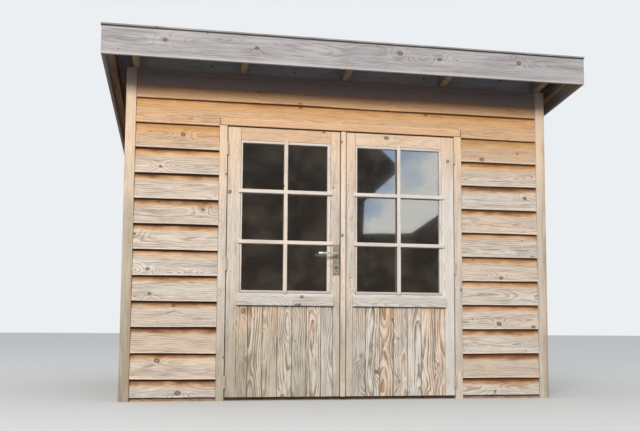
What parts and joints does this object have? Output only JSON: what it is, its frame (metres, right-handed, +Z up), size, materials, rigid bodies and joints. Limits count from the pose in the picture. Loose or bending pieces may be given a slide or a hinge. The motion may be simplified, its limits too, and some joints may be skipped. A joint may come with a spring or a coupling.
{
  "type": "wooden garden shed",
  "caption": "Wooden garden shed with lap-boarded walls, a pent roof with deep front eaves, and a glazed pair of doors that open outward.",
  "frame": {"origin": "on the ground, below the middle of the roof's outline", "axes": "+X along the front to the right, +Y from the front to the back, +Z up"},
  "size_m": [3.336, 2.898, 2.4348],
  "materials": {
    "lap_boards": "sawn softwood, orange where sheltered and grey where weathered",
    "planed_timber": "planed softwood, lightly weathered",
    "framing_timber": "sawn softwood",
    "fascia_boards": "planed softwood, weathered silver grey",
    "door_panel_boards": "planed tongue and groove boards",
    "roof_sheet": "matt black roofing sheet",
    "glass": "clear",
    "hinge_steel": "dull zinc plated",
    "handle_metal": "aged, bronze grey"
  },
  "bodies": {
    "shed": {"front_wall_left": "lap_boards", "front_wall_right": "lap_boards", "front_wall_over_door": "lap_boards", "left_wall": "lap_boards", "right_wall": "lap_boards", "back_wall": "lap_boards", "corner_posts": "planed_timber", "sole_plates": "framing_timber", "top_plates": "framing_timber", "wall_studs": "framing_timber", "floor_bearers": "framing_timber", "floor_boards": "framing_timber", "roof_joists": "framing_timber", "left_fly_rafter": "framing_timber", "right_fly_rafter": "framing_timber", "front_eaves_blocks": "framing_timber", "back_eaves_blocks": "framing_timber", "roof_boards": "framing_timber", "roof_covering": "roof_sheet", "front_fascia": "fascia_boards", "back_fascia": "fascia_boards", "left_fascia": "fascia_boards", "right_fascia": "fascia_boards", "roof_edge_laths": "fascia_boards", "door_jamb_left": "planed_timber", "door_jamb_right": "planed_timber", "door_head": "planed_timber", "door_stops": "planed_timber", "threshold": "framing_timber", "frame_hinges": "hinge_steel"},
    "left_leaf": {"left_door_stiles": "planed_timber", "left_door_rails": "planed_timber", "left_door_glass": "glass", "left_door_panel": "door_panel_boards", "left_door_weatherboard": "planed_timber", "left_door_hinges": "hinge_steel", "meeting_strip": "planed_timber", "handle_plates": "handle_metal"},
    "lever": {"door_lever": "handle_metal"},
    "right_leaf": {"right_door_stiles": "planed_timber", "right_door_rails": "planed_timber", "right_door_glass": "glass", "right_door_panel": "door_panel_boards", "right_door_weatherboard": "planed_timber", "right_door_hinges": "hinge_steel"}
  },
  "joints": [
    {"name": "left_leaf_hinge", "type": "hinge", "parent": "shed", "child": "left_leaf", "pos_m": [-0.829, -1.103, 0.9], "axis": [0, 0, -1], "range_deg": [0, 165]},
    {"name": "right_leaf_hinge", "type": "hinge", "parent": "shed", "child": "right_leaf", "pos_m": [0.813, -1.103, 0.9], "axis": [0, 0, 1], "range_deg": [0, 165]},
    {"name": "lever_turn", "type": "hinge", "parent": "left_leaf", "child": "lever", "pos_m": [-0.0595, -1.07, 1.016], "axis": [0, -1, 0], "range_deg": [0, 40], "stiffness_Nm_per_rad": 1.5, "springref_deg": -28.65}
  ]
}
